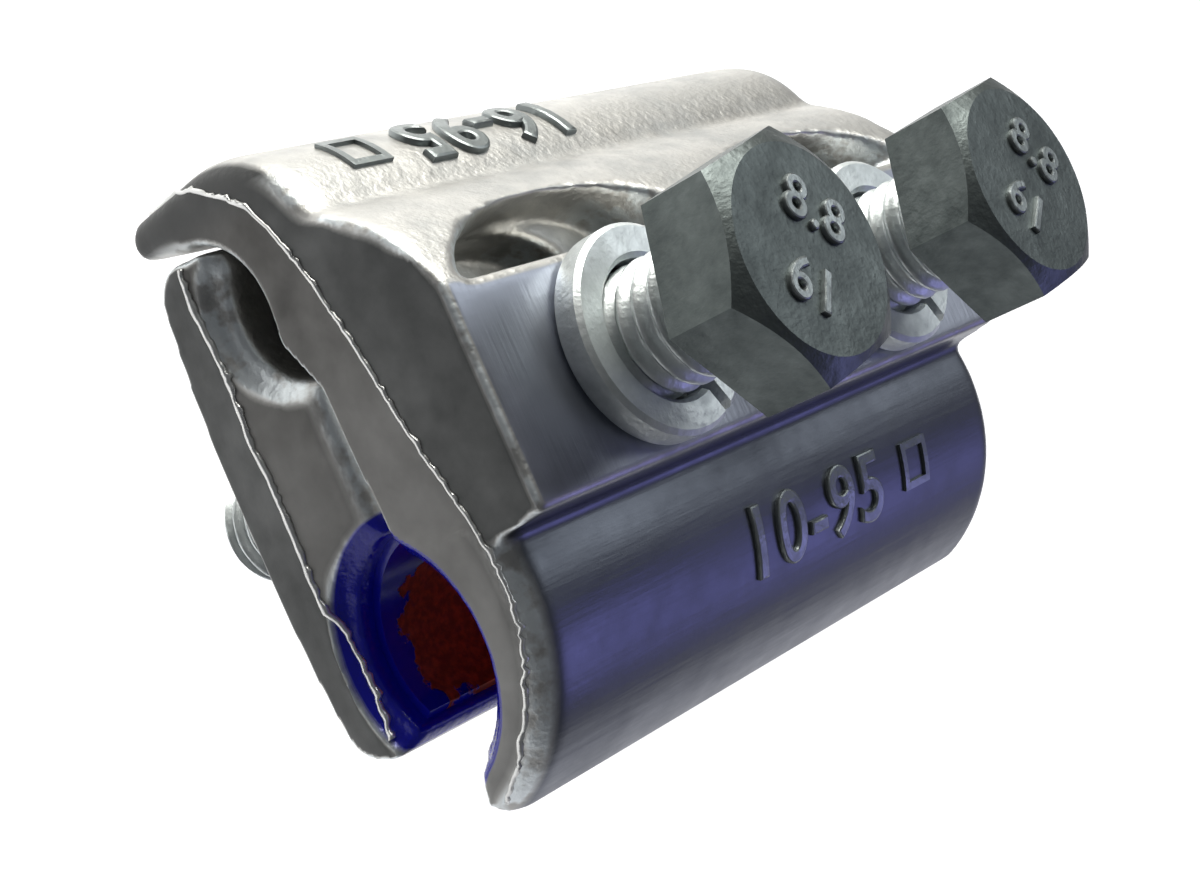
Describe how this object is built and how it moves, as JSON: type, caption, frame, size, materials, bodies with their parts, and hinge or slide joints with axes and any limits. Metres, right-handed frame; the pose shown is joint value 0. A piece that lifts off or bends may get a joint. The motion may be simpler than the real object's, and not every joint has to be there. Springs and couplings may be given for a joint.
{
  "type": "parallel groove clamp",
  "caption": "Bimetal parallel groove clamp: two forged keepers with an aluminium and a copper-lined groove, drawn together by hexagon bolts with spring washers.",
  "frame": {"origin": "on the axis of the aluminium groove in the back keeper, halfway between the two bolts", "axes": "+X along the conductors, +Y across towards the aluminium side, +Z along the bolts towards their heads"},
  "size_m": [0.0518, 0.0403, 0.0503],
  "materials": {
    "keeper_aluminium": "satin",
    "zinc_steel": "matte",
    "copper": "dull"
  },
  "bodies": {
    "back": {"back_keeper": "keeper_aluminium", "back_copper_liner": "copper", "near_nut": "zinc_steel", "far_nut": "zinc_steel"},
    "front": {"front_keeper": "keeper_aluminium", "front_copper_liner": "copper", "near_washer": "zinc_steel", "far_washer": "zinc_steel"},
    "near_screw": {"near_bolt": "zinc_steel"},
    "far_screw": {"far_bolt": "zinc_steel"}
  },
  "joints": [
    {"name": "keeper_slide", "type": "slide", "parent": "back", "child": "front", "axis": [0, 0, 1], "range_m": [0, 0.0085]},
    {"name": "near_screw_travel", "type": "slide", "parent": "front", "child": "near_screw", "axis": [0, 0, 1], "range_m": [-0.0058, 0.005]},
    {"name": "far_screw_travel", "type": "slide", "parent": "front", "child": "far_screw", "axis": [0, 0, 1], "range_m": [-0.0058, 0.005]}
  ]
}
